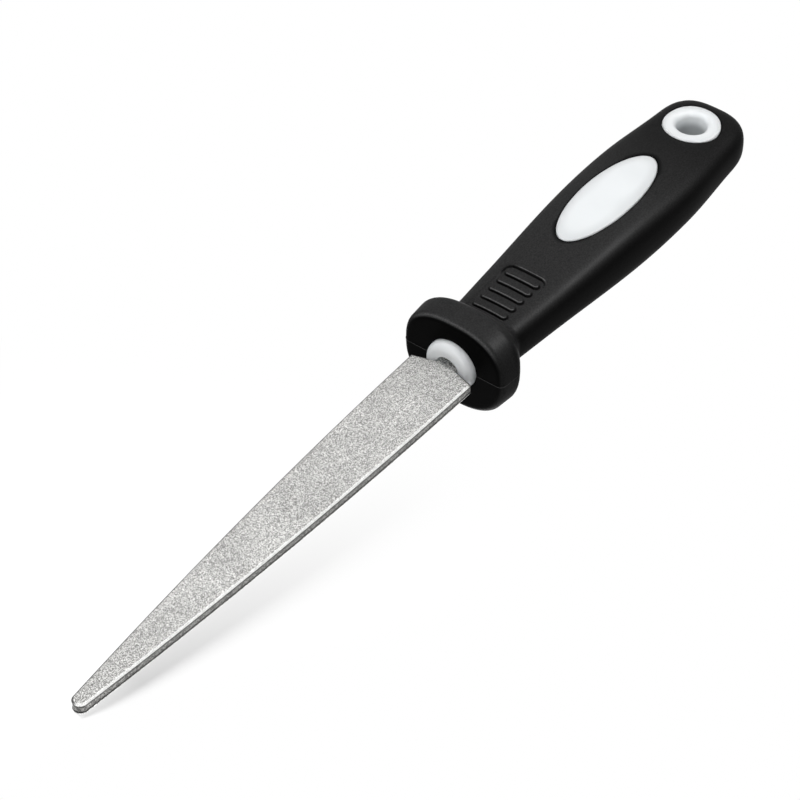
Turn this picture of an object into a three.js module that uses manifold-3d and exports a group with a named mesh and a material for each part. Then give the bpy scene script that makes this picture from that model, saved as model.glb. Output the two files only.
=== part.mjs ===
// Diamond sharpening file: a tapered steel file with a grit layer on each face, its tang fixed in a
// two-shot handle. A white hard core shows at the nose, in two oval windows and round the hang hole of the
// black soft grip that is moulded over it.
//
// Millimetres, +Z up. Inside the tool group X runs from tip to butt, with x = 0 at the outer corners of the
// blade's shoulders and z = 0 on the middle plane of the blade.

import * as THREE from 'three';
import { mergeVertices } from 'three/addons/utils/BufferGeometryUtils.js';
import Module from 'manifold-3d';

const wasm = await Module();
wasm.setup();

// Blade
const bladeLength = 132.3; // shoulder corners to the end of the tip
const bladeWidth = 18; // across the shoulder corners
const bladeBelly = 1.35; // how far each long edge bows out from a straight taper
const tipRadius = 2;
const blankThickness = 2.25;
const layerThickness = 0.55; // grit layer on each face
const layerBevel = 0.55; // bevel along the edge of each grit layer
const layerLip = 0.12; // the layers stand out past the blank's side by this much
const shoulderRise = 1.8; // the shoulders slope back to the tang by this much

// Tang
const tangWidth = 5.4;
const tangLength = 56; // behind the shoulder corners
const tangPoint = 5; // length of the tapered end
const tangPointWidth = 2.6;
const barbCount = 4;
const barbPitch = 7;
const barbDepth = 0.7;
const firstBarb = 22; // behind the shoulder corners

// Soft grip, with the places of its sections given behind the shoulder corners
const gripFront = 4.4;
const gripLength = 116.4;
const gripWall = 2.6; // soft layer over the core
const squareness = 2.9; // of the sections: 2 is an ellipse, more is squarer
const guard = { width: 30.6, height: 27, length: 6, edge: 1.7, flare: 0.3, squareness: 2.5 };
const neck = { at: 18.6, width: 20.2, height: 13.8 };
const thumb = { at: 33, width: 22.6, height: 14.8 };
const swell = { at: 68, width: 27.9, height: 18.5 };
const palm = { at: 88, width: 28.6, height: 17 };
const eye = { at: 107.2, width: 25.3, height: 15.2 };
const butt = { width: 23, height: 15, round: 11.7, fullness: 2.8 };

// White core showing through the grip
const noseRadius = 7;
const noseReach = 2.4; // the nose stands out from the guard by this much
const noseRound = 2;
const boreRadius = 3.3;
const boreDepth = 11;
const boreRound = 0.9;
const ovalAt = 69.4;
const ovalLength = 40.6;
const ovalWidth = 14.3;
const ringRadius = 7.6;
const holeRadius = 3.8;
const holeRound = 1.4;
const windowProud = 0.15; // the core stands out of its windows by this much

// Rib panel behind the guard, on both broad sides
const ribCount = 5;
const ribPitch = 3.3;
const ribWidth = 2;
const ribLength = 10;
const ribProud = 0.2;
const firstRib = 19.8; // middle of the rib next to the guard
const panelMargin = 1.5; // floor left free round the ribs
const panelCorner = 2;
const panelDepth = 0.8; // at the end away from the guard, where the panel is deepest

const gap = 0.3; // clearance between pieces that sit in one another

// Facets
const sectionSides = 36;
const turnSides = 40;
const curveSteps = 14;
const cornerSteps = 4;
const ribSteps = 2;
const flankSteps = 7;
const swellSteps = 16;
const buttSteps = 6;
const buttTurn = 80; // degrees of the butt's closing quarter that are lofted before the flat end

const steel = new THREE.MeshStandardMaterial({ color: 0x8c8c8a, roughness: 0.45, metalness: 1 });
const gritTop = new THREE.MeshStandardMaterial({ color: 0xb9b8b4, roughness: 0.6, metalness: 0.8 });
const gritBottom = gritTop.clone();
const whitePlastic = new THREE.MeshStandardMaterial({ color: 0xe6ebec, roughness: 0.35, metalness: 0 });
const blackRubber = new THREE.MeshStandardMaterial({ color: 0x1b1b1c, roughness: 0.75, metalness: 0 });

const gripEnd = gripFront + gripLength;
const rimEnd = gripFront + guard.length;
const noseFront = gripFront - noseReach;
const through = Math.max(guard.height, guard.width); // reaches past the grip on any side

// A closed geometry as a solid that can be joined and cut.
function solid(geometry) {
  const bare = geometry.clone();
  bare.deleteAttribute('normal');
  bare.deleteAttribute('uv');
  const merged = mergeVertices(bare, 1e-4);
  return new wasm.Manifold(new wasm.Mesh({
    numProp: 3,
    vertProperties: new Float32Array(merged.attributes.position.array),
    triVerts: new Uint32Array(merged.index.array),
  }));
}

function piece(name, body, material) {
  const result = body.getMesh();
  const geometry = new THREE.BufferGeometry();
  geometry.setAttribute('position', new THREE.BufferAttribute(new Float32Array(result.vertProperties), 3));
  geometry.setIndex(new THREE.BufferAttribute(new Uint32Array(result.triVerts), 1));
  geometry.computeVertexNormals();
  const mesh = new THREE.Mesh(geometry, material);
  mesh.name = name;
  return mesh;
}

// Rings with equal point counts joined into one closed skin, with a fan over each end.
function loft(rings) {
  const sides = rings[0].length;
  const points = rings.flat();
  const index = [];
  const next = (side) => (side + 1) % sides;
  for (let ring = 0; ring < rings.length - 1; ring++) {
    for (let side = 0; side < sides; side++) {
      const a = ring * sides + side;
      const b = ring * sides + next(side);
      index.push(a, b, a + sides, b, b + sides, a + sides);
    }
  }
  const last = (rings.length - 1) * sides;
  const front = points.push(middleOf(rings[0])) - 1;
  const back = points.push(middleOf(rings[rings.length - 1])) - 1;
  for (let side = 0; side < sides; side++) {
    index.push(front, next(side), side);
    index.push(back, last + side, last + next(side));
  }
  return new THREE.BufferGeometry().setFromPoints(points).setIndex(index);
}

function middleOf(ring) {
  const middle = new THREE.Vector3();
  ring.forEach((corner) => middle.addScaledVector(corner, 1 / ring.length));
  return middle;
}

// A plan outline raised from one height to another.
function prism(outline, bottom, top, steps) {
  const settings = { depth: top - bottom, bevelEnabled: false, curveSegments: steps };
  return new THREE.ExtrudeGeometry(outline, settings).translate(0, 0, bottom);
}

// Points of a quarter turn, with angles in quarter turns from the first axis.
function quarter(x, y, radius, from, to) {
  const right = Math.PI / 2;
  const arc = new THREE.EllipseCurve(x, y, radius, radius, from * right, to * right, to < from);
  return arc.getPoints(cornerSteps);
}

// Rounded rectangle in plan, by its corners.
function panelOutline(x0, x1, halfWidth, corner) {
  const outline = new THREE.Shape();
  outline.absarc(x1 - corner, halfWidth - corner, corner, 0, Math.PI / 2, false);
  outline.absarc(x0 + corner, halfWidth - corner, corner, Math.PI / 2, Math.PI, false);
  outline.absarc(x0 + corner, corner - halfWidth, corner, Math.PI, 1.5 * Math.PI, false);
  outline.absarc(x1 - corner, corner - halfWidth, corner, 1.5 * Math.PI, 2 * Math.PI, false);
  outline.closePath();
  return outline;
}

function ellipseOutline(x, halfLength, halfWidth) {
  const outline = new THREE.Shape();
  outline.absellipse(x, 0, halfLength, halfWidth, 0, 2 * Math.PI, false, 0);
  return outline;
}

// Outline of the blade up to its shoulders, drawn in by an inset. The long edges bow out and run into the
// round tip. With a tang, the barbed tang follows between the shoulders.
function bladeOutline(inset, withTang) {
  const half = bladeWidth / 2 - inset;
  const tip = tipRadius - inset;
  const tipX = tipRadius - bladeLength;
  const bowY = (half + tip) / 2 + 2 * bladeBelly;
  const outline = new THREE.Shape();
  outline.moveTo(-inset, half);
  outline.quadraticCurveTo(tipX / 2, bowY, tipX, tip);
  outline.absarc(tipX, 0, tip, Math.PI / 2, 1.5 * Math.PI, false);
  outline.quadraticCurveTo(tipX / 2, -bowY, -inset, -half);
  outline.lineTo(shoulderRise - inset, -tangWidth / 2);
  if (withTang) {
    const side = tangSide();
    side.forEach(([x, y]) => outline.lineTo(x, -y));
    side.reverse().forEach(([x, y]) => outline.lineTo(x, y));
  }
  outline.lineTo(shoulderRise - inset, tangWidth / 2);
  outline.closePath();
  return outline;
}

// Corners of one long edge of the tang: saw-tooth barbs, then the tapered end.
function tangSide() {
  const half = tangWidth / 2;
  const corners = [];
  for (let barb = 0; barb < barbCount; barb++) {
    const x = firstBarb + barb * barbPitch;
    corners.push([x, half], [x, half - barbDepth], [x + barbPitch / 2, half]);
  }
  corners.push([tangLength - tangPoint, half], [tangLength, tangPointWidth / 2]);
  return corners;
}

function fileBlank() {
  const outline = bladeOutline(layerLip, true);
  return solid(prism(outline, -blankThickness / 2, blankThickness / 2, curveSteps));
}

// One grit layer: a thin sheet on the blank, bevelled along the edge of its outer face.
function gritLayer(turn) {
  const ring = (inset, z) => bladeOutline(inset, false)
    .getPoints(curveSteps)
    .slice(0, -1)
    .map((corner) => new THREE.Vector3(corner.x, corner.y, z));
  const seat = blankThickness / 2;
  return solid(loft([ring(0, seat), ring(layerBevel, seat + layerThickness)]).rotateX(turn));
}

// Full width and height of the grip behind its neck, as a smooth line through the named sections.
const spine = [neck, thumb, swell, palm, eye, { ...butt, at: gripEnd }];
const spineLine = new THREE.CubicInterpolant(
  spine.map((section) => section.at),
  spine.flatMap((section) => [section.width, section.height]),
  2,
);

// Share of the way down the guard's flank: 0 on the guard, 1 from the neck on.
function downFlank(x) {
  const along = THREE.MathUtils.clamp((x - rimEnd) / (neck.at - rimEnd), 0, 1);
  return (1 - Math.cos(Math.PI * along)) / 2;
}

// Half sizes of the grip at one place, drawn in by an inset: the guard's rounded front edge, its rim flaring
// to the back, its flank down to the neck, the long swell, and the butt closing as a superellipse.
function halfSizes(x, inset) {
  const behind = spineLine.evaluate(Math.max(x, neck.at));
  const short = THREE.MathUtils.clamp(1 - (x - gripFront - inset) / guard.edge, 0, 1);
  const upRim = THREE.MathUtils.clamp((x - gripFront - guard.edge) / (guard.length - guard.edge), 0, 1);
  const drawn = guard.edge * (1 - Math.sqrt(1 - short ** 2)) + guard.flare * (1 - upRim);
  const closed = Math.max(0, (x - gripEnd + butt.round) / (butt.round - inset));
  const left = (1 - closed ** butt.fullness) ** (1 / butt.fullness);
  return [guard.width, guard.height].map((full, axis) => {
    const half = THREE.MathUtils.lerp(full, behind[axis], downFlank(x)) / 2;
    return (half - inset - drawn) * left;
  });
}

// Places of the rings: close together round the guard's edge and at the butt.
function ringPlaces(inset) {
  const start = gripFront + inset;
  const buttStart = gripEnd - butt.round;
  const places = [];
  for (let step = 0; step < cornerSteps; step++) {
    places.push(start + guard.edge * (1 - Math.cos((step / cornerSteps) * Math.PI / 2)));
  }
  const flankStart = Math.max(rimEnd, start + guard.edge + inset);
  places.push(start + guard.edge);
  for (let step = 0; step < flankSteps; step++) {
    places.push(THREE.MathUtils.lerp(flankStart, neck.at, step / flankSteps));
  }
  for (let step = 0; step < swellSteps; step++) {
    places.push(THREE.MathUtils.lerp(neck.at, buttStart, step / swellSteps));
  }
  for (let step = 0; step <= buttSteps; step++) {
    const turn = THREE.MathUtils.degToRad((buttTurn * step) / buttSteps);
    places.push(buttStart + (butt.round - inset) * Math.sin(turn));
  }
  return places;
}

// The grip's outer form drawn in by an inset, as a loft of superellipse sections.
function gripForm(inset) {
  return loft(ringPlaces(inset).map((x) => {
    const [halfWidth, halfHeight] = halfSizes(x, inset);
    const power = 2 / THREE.MathUtils.lerp(guard.squareness, squareness, downFlank(x));
    const rounded = (value) => Math.sign(value) * Math.abs(value) ** power;
    return Array.from({ length: sectionSides }, (_, side) => {
      const turn = (2 * Math.PI * side) / sectionSides;
      const y = halfWidth * rounded(Math.cos(turn));
      const z = halfHeight * rounded(Math.sin(turn));
      return new THREE.Vector3(x, y, z);
    });
  }));
}

// A closed profile of radius against distance, turned about the X axis.
function turnedOnX(profile) {
  return new THREE.LatheGeometry(profile, turnSides).rotateZ(-Math.PI / 2);
}

function point(radius, along) {
  return new THREE.Vector2(radius, along);
}

// The columns that carry the core out to its oval windows and its hang ring, grown by a clearance.
function windowColumns(grown) {
  const oval = ellipseOutline(ovalAt, ovalLength / 2 + grown, ovalWidth / 2 + grown);
  const ring = ellipseOutline(eye.at, ringRadius + grown, ringRadius + grown);
  const columns = [oval, ring].map((outline) => solid(prism(outline, -through, through, curveSteps)));
  return columns[0].add(columns[1]);
}

function noseForm() {
  const back = gripFront + gripWall + guard.edge;
  return solid(turnedOnX([
    point(0, noseFront),
    ...quarter(noseRadius - noseRound, noseFront + noseRound, noseRound, 3, 4),
    point(noseRadius, back),
    point(0, back),
  ]));
}

// The round bore at the nose, its mouth rounded, and the flat socket behind it that holds the tang.
function tangSocket() {
  const mouth = quarter(boreRadius + boreRound, noseFront + boreRound, boreRound, 3, 2);
  const bore = turnedOnX([
    point(0, noseFront - boreRound),
    point(boreRadius + boreRound, noseFront - boreRound),
    ...mouth,
    point(boreRadius, noseFront + boreDepth),
    point(0, noseFront + boreDepth),
  ]);
  const slot = new THREE.BoxGeometry(tangLength, tangWidth + 2 * gap, blankThickness + 2 * gap);
  return solid(bore).add(solid(slot.translate(tangLength / 2 + gap, 0, 0)));
}

// The hang hole, flared where it meets the top and bottom of the ring.
function hangHole() {
  const top = eye.height / 2 + windowProud;
  const flare = quarter(holeRadius + holeRound, top - holeRound, holeRound, 2, 1);
  const below = flare.map((place) => point(place.x, -place.y)).reverse();
  const hole = new THREE.LatheGeometry([
    point(0, -through),
    point(holeRadius + holeRound, -through),
    ...below,
    ...flare,
    point(holeRadius + holeRound, through),
    point(0, through),
  ], turnSides);
  return solid(hole.rotateX(Math.PI / 2).translate(eye.at, 0, 0));
}

function handleCore() {
  const shown = windowColumns(0).intersect(solid(gripForm(-windowProud)));
  return solid(gripForm(gripWall)).add(shown).add(noseForm()).subtract(tangSocket()).subtract(hangHole());
}

// The rib panel: a pocket whose floor sinks away from the guard, and the ribs that stand on the floor.
function panelPocket() {
  const start = firstRib - ribWidth / 2 - panelMargin;
  const end = firstRib + (ribCount - 1) * ribPitch + ribWidth / 2 + panelMargin;
  const sink = Math.atan(panelDepth / (end - start));
  const level = halfSizes(start, 0)[1];
  const floor = gripForm(0).translate(-start, 0, -level).rotateY(sink).translate(start, 0, level);
  const outline = panelOutline(start, end, ribLength / 2 + panelMargin, panelCorner);
  return solid(prism(outline, level / 2, through, cornerSteps)).subtract(solid(floor));
}

function panelRibs() {
  const low = neck.height / 2 - gripWall / 2;
  const all = Array.from({ length: ribCount }, (_, rib) => {
    const x = firstRib + rib * ribPitch;
    const outline = panelOutline(x - ribWidth / 2, x + ribWidth / 2, ribLength / 2, ribWidth / 2);
    return solid(prism(outline, low, through, ribSteps));
  });
  return all.reduce((sum, rib) => sum.add(rib)).intersect(solid(gripForm(-ribProud)));
}

function flipped(body) {
  const geometry = piece('', body, null).geometry;
  return solid(geometry.rotateX(Math.PI));
}

function softGrip() {
  const pocket = panelPocket();
  const ribs = panelRibs();
  const noseHole = new THREE.CylinderGeometry(noseRadius + gap, noseRadius + gap, 2 * gripWall, turnSides);
  const ribbed = solid(gripForm(0)).subtract(pocket).subtract(flipped(pocket)).add(ribs).add(flipped(ribs));
  return ribbed
    .subtract(solid(gripForm(gripWall - gap)))
    .subtract(windowColumns(gap))
    .subtract(solid(noseHole.rotateZ(Math.PI / 2).translate(gripFront + gripWall / 2, 0, 0)));
}

// The tool stands on the lowest point of its guard, with its length centred.
const tool = new THREE.Group();
tool.position.set((bladeLength - gripEnd) / 2, 0, guard.height / 2);
tool.add(piece('file_blank', fileBlank(), steel));
tool.add(piece('diamond_layer_top', gritLayer(0), gritTop));
tool.add(piece('diamond_layer_bottom', gritLayer(Math.PI), gritBottom));
tool.add(piece('handle_core', handleCore(), whitePlastic));
tool.add(piece('soft_grip', softGrip(), blackRubber));

export default tool;
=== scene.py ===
# Diamond sharpening file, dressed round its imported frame.
# Lengths in the dictionaries are millimetres in the tool's own frame where no note says metres: x runs from
# tip to butt with x = 0 at the shoulder corners of the blade, and z = 0 is the middle plane of the blade.

import bmesh
import bpy
import math
import numpy as np
from mathutils import Matrix, Vector


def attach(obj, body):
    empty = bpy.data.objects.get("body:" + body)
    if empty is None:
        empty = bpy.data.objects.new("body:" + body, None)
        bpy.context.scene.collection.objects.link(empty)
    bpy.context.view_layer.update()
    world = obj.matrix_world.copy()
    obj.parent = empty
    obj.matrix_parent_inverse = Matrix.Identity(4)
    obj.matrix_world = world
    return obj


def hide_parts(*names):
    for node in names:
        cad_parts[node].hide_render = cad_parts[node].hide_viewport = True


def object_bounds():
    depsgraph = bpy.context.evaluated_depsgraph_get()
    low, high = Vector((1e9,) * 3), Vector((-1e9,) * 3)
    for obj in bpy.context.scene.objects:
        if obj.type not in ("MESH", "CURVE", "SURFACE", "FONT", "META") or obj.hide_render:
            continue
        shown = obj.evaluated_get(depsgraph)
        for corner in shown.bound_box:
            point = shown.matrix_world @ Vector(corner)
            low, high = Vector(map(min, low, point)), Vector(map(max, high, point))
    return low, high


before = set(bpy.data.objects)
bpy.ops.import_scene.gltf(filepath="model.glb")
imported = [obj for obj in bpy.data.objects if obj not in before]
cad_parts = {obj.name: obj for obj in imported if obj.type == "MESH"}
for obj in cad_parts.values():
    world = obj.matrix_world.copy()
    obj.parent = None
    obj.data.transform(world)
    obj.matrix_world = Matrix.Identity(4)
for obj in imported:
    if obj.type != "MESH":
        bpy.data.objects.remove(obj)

cadLow, cadHigh = [np.array(corner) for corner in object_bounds()]

perMetre = 1000.0  # millimetres in a metre
quarterTurn = math.pi / 2
fullTurn = 2 * math.pi
tiny = 1e-9  # keeps a division away from zero

blade = {
    "length": 132.3,
    "width": 18.0,
    "belly": 1.35,  # each long edge bows out this far from a straight taper
    "tipRadius": 2.0,
    "shoulderRise": 1.8,
    "tangWidth": 5.4,
    "seat": 1.125,  # height of the blank's faces
    "layer": 0.55,  # thickness of one grit layer
    "edgeLine": [5, 10, 200, 22],  # points on the back, the shoulder, the long edge and the tip
}

# Where the tool's own zero lies in the frame, in millimetres
toolZero = np.array([perMetre * cadLow[0] + blade["length"], 0, perMetre * (cadLow[2] + cadHigh[2]) / 2])

meshing = {
    "merge": 2e-6,  # metres within which two points become one
    "sharpAngle": 38,  # degrees between two faces past which their edge stays sharp
    "gripSharpAngle": 45,
}


def smoothStep(low, high, value):
    # Formula: 0 below low, 1 above high, and 3s^2 - 2s^3 of the share s between them
    share = np.clip((value - low) / (high - low), 0, 1)
    return share * share * (3 - 2 * share)


def bell(value, middle, halfWidth):
    # Formula: e to the power of minus the square of (distance from the middle / half width)
    return np.exp(-(((value - middle) / halfWidth) ** 2))


def gridFaces(points, ring=False):
    # Formula: one quad for each neighbouring pair of rows and columns, with the last column joined to the
    # first, and on a ring the last row to the first
    rows, columns = points.shape[:2]
    index = np.arange(rows * columns).reshape(rows, columns)
    index = np.hstack([index, index[:, :1]])
    if ring:
        index = np.vstack([index, index[:1]])
    return np.stack([index[:-1, :-1], index[:-1, 1:], index[1:, 1:], index[1:, :-1]], -1)


def addPiece(name, surface, material, node, sharpAngle=meshing["sharpAngle"]):
    # A surface is its points in tool millimetres, its faces, and named marks for its finish and its painted
    # light and shade; it becomes a mesh in metres whose double points merge and whose faces turn outwards
    points, faces, marks = surface
    mesh = bpy.data.meshes.new(name)
    places = (points.reshape(-1, 3) + toolZero) / perMetre
    mesh.from_pydata(places.tolist(), [], faces.reshape(-1, 4).tolist())
    for mark, values in marks:
        layer = mesh.attributes.new(mark, "FLOAT", "POINT")
        layer.data.foreach_set("value", values.astype(np.float32).ravel())
    form = bmesh.new()
    form.from_mesh(mesh)
    bmesh.ops.remove_doubles(form, verts=form.verts, dist=meshing["merge"])
    bmesh.ops.recalc_face_normals(form, faces=form.faces)
    form.to_mesh(mesh)
    form.free()
    mesh.shade_smooth()
    mesh.set_sharp_from_angle(angle=math.radians(sharpAngle))
    mesh.materials.append(material)
    piece = bpy.data.objects.new(name, mesh)
    bpy.context.collection.objects.link(piece)
    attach(piece, "root")
    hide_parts(node)
    print("made", name, len(mesh.polygons), "faces")
    return piece


# Materials

textureSpread = (0.3, 0.7)  # most of a texture's values lie between these


def newMaterial(name):
    material = bpy.data.materials.new(name)
    material.use_nodes = True
    tree = material.node_tree
    return material, tree, tree.nodes["Principled BSDF"]


def addNode(tree, kind, **values):
    # Values go on the node's own property of that name, or else on a socket, with _ for a space in its name
    node = tree.nodes.new(kind)
    for key, value in values.items():
        if hasattr(node, key):
            setattr(node, key, value)
        else:
            node.inputs[key.replace("_", " ")].default_value = value
    return node


def feed(tree, value, socket):
    # Joins an output to the socket, or sets a plain number or colour on it
    if isinstance(value, bpy.types.NodeSocket):
        tree.links.new(value, socket)
    elif isinstance(value, tuple):
        socket.default_value = (*value, 1)
    else:
        socket.default_value = value


def objectPlace(tree):
    return addNode(tree, "ShaderNodeTexCoord").outputs["Object"]


def placeAxes(tree):
    # The x, y and z of a place on the piece
    axes = addNode(tree, "ShaderNodeSeparateXYZ")
    tree.links.new(objectPlace(tree), axes.inputs[0])
    return axes.outputs


def addTexture(tree, kind, **values):
    texture = addNode(tree, kind, **values)
    tree.links.new(objectPlace(tree), texture.inputs["Vector"])
    return texture


def addMath(tree, operation, *values):
    node = addNode(tree, "ShaderNodeMath", operation=operation)
    for value, socket in zip(values, node.inputs):
        feed(tree, value, socket)
    return node.outputs[0]


def addRange(tree, value, span, **settings):
    # 0 up to the start of the span and 1 from its end on, where the settings give no other values
    node = addNode(tree, "ShaderNodeMapRange", From_Min=span[0], From_Max=span[1], **settings)
    tree.links.new(value, node.inputs["Value"])
    return node.outputs[0]


def addRamp(tree, source, colours, places=textureSpread):
    # A ramp with one colour at each place; a bare number is a grey
    ramp = tree.nodes.new("ShaderNodeValToRGB")
    points = ramp.color_ramp.elements
    while len(points) < len(colours):
        points.new(0.5)
    for point, place, colour in zip(points, places, colours):
        point.position = place
        point.color = (*colour, 1) if isinstance(colour, tuple) else (colour, colour, colour, 1)
    tree.links.new(source, ramp.inputs["Fac"])
    return ramp.outputs["Color"]


def mixColours(tree, share, first, second, blend="MIX"):
    # The first colour, turned to the second as the share goes from 0 to 1
    mix = addNode(tree, "ShaderNodeMix", data_type="RGBA", blend_type=blend)
    for place, value in ((0, share), (6, first), (7, second)):  # its sockets for a share and two colours
        feed(tree, value, mix.inputs[place])
    return mix.outputs[2]


def mixByMark(tree, mark, first, second):
    # The same, by a mark on the mesh
    share = addNode(tree, "ShaderNodeAttribute", attribute_name=mark).outputs["Fac"]
    return mixColours(tree, share, first, second)


def addBump(tree, shader, height, distance, strength):
    bump = addNode(tree, "ShaderNodeBump", Distance=distance, Strength=strength)
    tree.links.new(height, bump.inputs["Height"])
    tree.links.new(bump.outputs["Normal"], shader.inputs["Normal"])


gritFinish = {
    "grain": 5600.0,  # grains per metre
    "dark": (0.18, 0.178, 0.173),
    "middle": (0.37, 0.367, 0.357),
    "light": (0.73, 0.727, 0.71),
    "grainSteps": (0.25, 0.5, 0.75),  # where these three lie on the grains' scale
    "patch": 90.0,  # patches per metre
    "patchShade": (0.86, 1.0),  # brightness of a dim patch and of a bright one
    "paintedHighlightDim": (0.6, 0.6, 0.59),  # painted highlight on the bevel of one long edge and the tip, between its grains and on them
    "paintedHighlight": (0.84, 0.84, 0.83),
    "paintedHighlightSteps": (0.3, 0.6),
    "paintedShade": (0.06, 0.06, 0.059),  # painted shade on the edge of the shaded long side and at the shoulders
    "metallic": 0.35,
    "rough": (0.66, 0.46),  # of dark grains and of light ones
    "bump": (0.00004, 0.7),  # height in metres, and strength
}


def gritMaterial():
    material, tree, shader = newMaterial("diamondGrit")
    grain = addTexture(tree, "ShaderNodeTexVoronoi", Scale=gritFinish["grain"])
    patch = addTexture(tree, "ShaderNodeTexNoise", Scale=gritFinish["patch"], Detail=1.0, Roughness=0.5)
    cell = grain.outputs["Color"]
    grains = (gritFinish["dark"], gritFinish["middle"], gritFinish["light"])
    colour = addRamp(tree, cell, grains, gritFinish["grainSteps"])
    shade = addRamp(tree, patch.outputs["Fac"], gritFinish["patchShade"])
    shaded = mixColours(tree, 1.0, colour, shade, "MULTIPLY")
    # painted highlight: the bevel of one long edge and of the tip painted bright
    bright = addRamp(tree, cell, (gritFinish["paintedHighlightDim"], gritFinish["paintedHighlight"]), gritFinish["paintedHighlightSteps"])
    paintedHighlight = mixByMark(tree, "paintedHighlight", shaded, bright)
    # painted shade: the edge of the other long side and the face at the shoulders painted dark
    paintedShade = mixByMark(tree, "paintedShade", paintedHighlight, gritFinish["paintedShade"])
    tree.links.new(paintedShade, shader.inputs["Base Color"])
    tree.links.new(addRamp(tree, cell, gritFinish["rough"]), shader.inputs["Roughness"])
    shader.inputs["Metallic"].default_value = gritFinish["metallic"]
    addBump(tree, shader, grain.outputs["Distance"], *gritFinish["bump"])
    return material


steelFinish = {
    "grain": 3300.0,
    "dark": (0.12, 0.119, 0.115),
    "light": (0.34, 0.336, 0.326),
    "tangDark": (0.25, 0.248, 0.242),  # the tang, painted paler as if lit inside the nose's bore
    "tangLight": (0.8, 0.795, 0.78),
    "tangFrom": (0.5, 1.2),  # along x, where the tang's finish comes in
    "line": (0.03, 0.03, 0.029),  # painted shade in the lines where the sides meet the layers, under their overhang
    "lineFrom": (0.35, 0.95),  # height from the middle over which a side darkens to the line
    "metallic": 0.9,
    "rough": (0.6, 0.42),
    "bump": (0.00003, 0.6),
}


def steelMaterial():
    material, tree, shader = newMaterial("groundSteel")
    grain = addTexture(tree, "ShaderNodeTexVoronoi", Scale=steelFinish["grain"])
    cell = grain.outputs["Color"]
    axes = placeAxes(tree)
    tangFrom = [(toolZero[0] + edge) / perMetre for edge in steelFinish["tangFrom"]]
    lineFrom = [edge / perMetre for edge in steelFinish["lineFrom"]]
    onTang = addRange(tree, axes["X"], tangFrom)
    height = addMath(tree, "SUBTRACT", axes["Z"], toolZero[2] / perMetre)
    onLine = addRange(tree, addMath(tree, "ABSOLUTE", height), lineFrom)
    side = addRamp(tree, cell, (steelFinish["dark"], steelFinish["light"]))
    # painted shade: the sides darken to a line next to each layer
    lined = mixColours(tree, onLine, side, steelFinish["line"])
    tang = addRamp(tree, cell, (steelFinish["tangDark"], steelFinish["tangLight"]))
    # painted light: the tang is painted paler so that it shows lit inside the nose's bore
    tree.links.new(mixColours(tree, onTang, lined, tang), shader.inputs["Base Color"])
    tree.links.new(addRamp(tree, cell, steelFinish["rough"]), shader.inputs["Roughness"])
    shader.inputs["Metallic"].default_value = steelFinish["metallic"]
    addBump(tree, shader, grain.outputs["Distance"], *steelFinish["bump"])
    return material


rubberFinish = {
    "dark": (0.001, 0.001, 0.001),
    "light": (0.002, 0.002, 0.002),
    # painted light: the lit colour where the painted light mark is full, grained up to pale
    "paintedLitColour": (0.07, 0.07, 0.0705),
    "pale": (0.125, 0.125, 0.126),
    "grain": 2600.0,
    "cloud": 60.0,
    "specular": 0.008,
    "rough": (0.38, 0.46),
    "bump": (0.00002, 0.5),
}


def rubberMaterial():
    material, tree, shader = newMaterial("blackRubber")
    grain = addTexture(tree, "ShaderNodeTexNoise", Scale=rubberFinish["grain"], Detail=2.0, Roughness=0.5)
    cloud = addTexture(tree, "ShaderNodeTexNoise", Scale=rubberFinish["cloud"], Detail=3.0, Roughness=0.55)
    fine, broad = grain.outputs["Fac"], cloud.outputs["Fac"]
    colour = addRamp(tree, broad, (rubberFinish["dark"], rubberFinish["light"]))
    # painted light: the mark paints broad faces, edges and ribs paler, as if lit, over the near black base
    paintedLitColour = addRamp(tree, fine, (rubberFinish["paintedLitColour"], rubberFinish["pale"]))
    tree.links.new(mixByMark(tree, "paintedLight", colour, paintedLitColour), shader.inputs["Base Color"])
    tree.links.new(addRamp(tree, broad, rubberFinish["rough"]), shader.inputs["Roughness"])
    shader.inputs["Specular IOR Level"].default_value = rubberFinish["specular"]
    addBump(tree, shader, fine, *rubberFinish["bump"])
    return material


plasticFinish = {
    "dark": (0.7, 0.722, 0.732),
    "light": (0.755, 0.775, 0.785),
    "shade": (0.3, 0.315, 0.322),  # deep in the hang hole
    "cloud": 45.0,
    "grain": 1400.0,
    "glow": 0.8,  # share of the light that goes into the plastic
    "glowDepth": 0.004,  # metres that it spreads there
    "glowSpread": (1, 1, 1),  # red, green and blue spread alike
    "rough": (0.34, 0.42),
    "bump": (0.000006, 0.4),
}


def plasticMaterial():
    material, tree, shader = newMaterial("whitePlastic")
    cloud = addTexture(tree, "ShaderNodeTexNoise", Scale=plasticFinish["cloud"], Detail=2.0)
    grain = addTexture(tree, "ShaderNodeTexNoise", Scale=plasticFinish["grain"], Detail=2.0)
    fine, broad = grain.outputs["Fac"], cloud.outputs["Fac"]
    colour = addRamp(tree, broad, (plasticFinish["dark"], plasticFinish["light"]))
    tree.links.new(mixByMark(tree, "shade", colour, plasticFinish["shade"]), shader.inputs["Base Color"])
    tree.links.new(addRamp(tree, broad, plasticFinish["rough"]), shader.inputs["Roughness"])
    shader.inputs["Subsurface Weight"].default_value = plasticFinish["glow"]
    shader.inputs["Subsurface Radius"].default_value = plasticFinish["glowSpread"]
    shader.inputs["Subsurface Scale"].default_value = plasticFinish["glowDepth"]
    addBump(tree, shader, fine, *plasticFinish["bump"])
    return material


gritSkin = gritMaterial()
steelSkin = steelMaterial()
rubberSkin = rubberMaterial()
plasticSkin = plasticMaterial()
print("materials ready")


# Grit layers

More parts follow.
